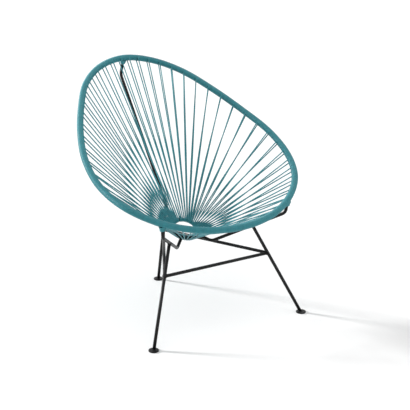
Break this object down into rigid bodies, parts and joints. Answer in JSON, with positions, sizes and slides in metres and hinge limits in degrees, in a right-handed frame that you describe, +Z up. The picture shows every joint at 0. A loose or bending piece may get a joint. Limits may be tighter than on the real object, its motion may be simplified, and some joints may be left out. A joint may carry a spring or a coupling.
{
  "type": "acapulco chair",
  "caption": "Low lounge chair: an egg-shaped steel hoop wound with PVC cord, a laced cord bowl and a bent rod frame on foot discs.",
  "frame": {"origin": "on the floor, below the middle of the chair's box", "axes": "the chair faces -Y, +X to the right seen from the front, +Z up"},
  "size_m": [0.7426, 0.8372, 0.793],
  "materials": {
    "black_powder_coat": "satin black powder coat on steel rod",
    "teal_pvc": "satin teal PVC cord"
  },
  "bodies": {
    "root": {"hoop_rod": "black_powder_coat", "seat_ring": "black_powder_coat", "support_arm_right": "black_powder_coat", "support_arm_left": "black_powder_coat", "support_arm_back": "black_powder_coat", "leg_right": "black_powder_coat", "leg_left": "black_powder_coat", "leg_back": "black_powder_coat", "stretcher_front": "black_powder_coat", "stretcher_right": "black_powder_coat", "stretcher_left": "black_powder_coat", "foot_disc_right": "black_powder_coat", "foot_disc_left": "black_powder_coat", "foot_disc_back": "black_powder_coat", "lacing_stretch_01": "teal_pvc", "lacing_stretch_02": "teal_pvc", "lacing_stretch_03": "teal_pvc", "lacing_stretch_04": "teal_pvc", "lacing_stretch_05": "teal_pvc", "lacing_stretch_06": "teal_pvc", "lacing_stretch_07": "teal_pvc", "lacing_stretch_08": "teal_pvc", "lacing_stretch_09": "teal_pvc", "lacing_stretch_10": "teal_pvc", "lacing_stretch_11": "teal_pvc", "lacing_stretch_12": "teal_pvc", "lacing_stretch_13": "teal_pvc", "lacing_stretch_14": "teal_pvc"}
  },
  "joints": []
}
